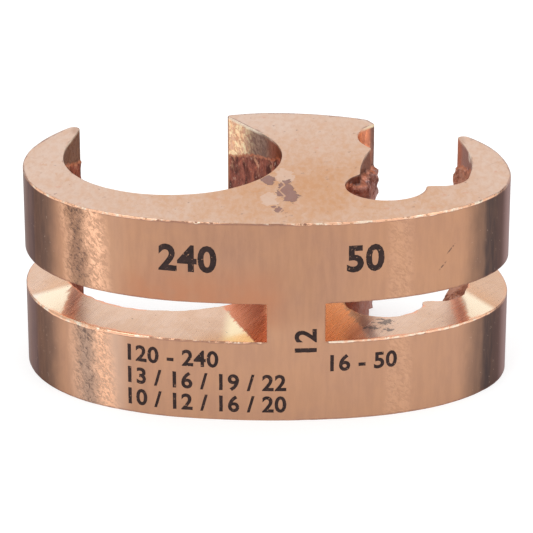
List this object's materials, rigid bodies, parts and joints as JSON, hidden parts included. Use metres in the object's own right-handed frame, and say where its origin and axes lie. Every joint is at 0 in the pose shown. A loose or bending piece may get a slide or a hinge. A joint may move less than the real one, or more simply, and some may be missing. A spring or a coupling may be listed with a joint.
{
  "type": "two-groove compression grounding connector",
  "caption": "E-shaped copper bar with a large and a small wire groove, split by two saw slots into lobes joined by a web; it is pressed shut round a ground rod and a wire.",
  "frame": {"origin": "middle of the sawn lower end, on the surface that the connector stands on", "axes": "+X from the large groove towards the small groove, +Y from the convex back towards the open mouths, +Z along the bar"},
  "size_m": [0.055, 0.0356, 0.0234],
  "materials": {
    "copper": null
  },
  "bodies": {
    "root": {"connector_body": "copper"}
  },
  "joints": []
}
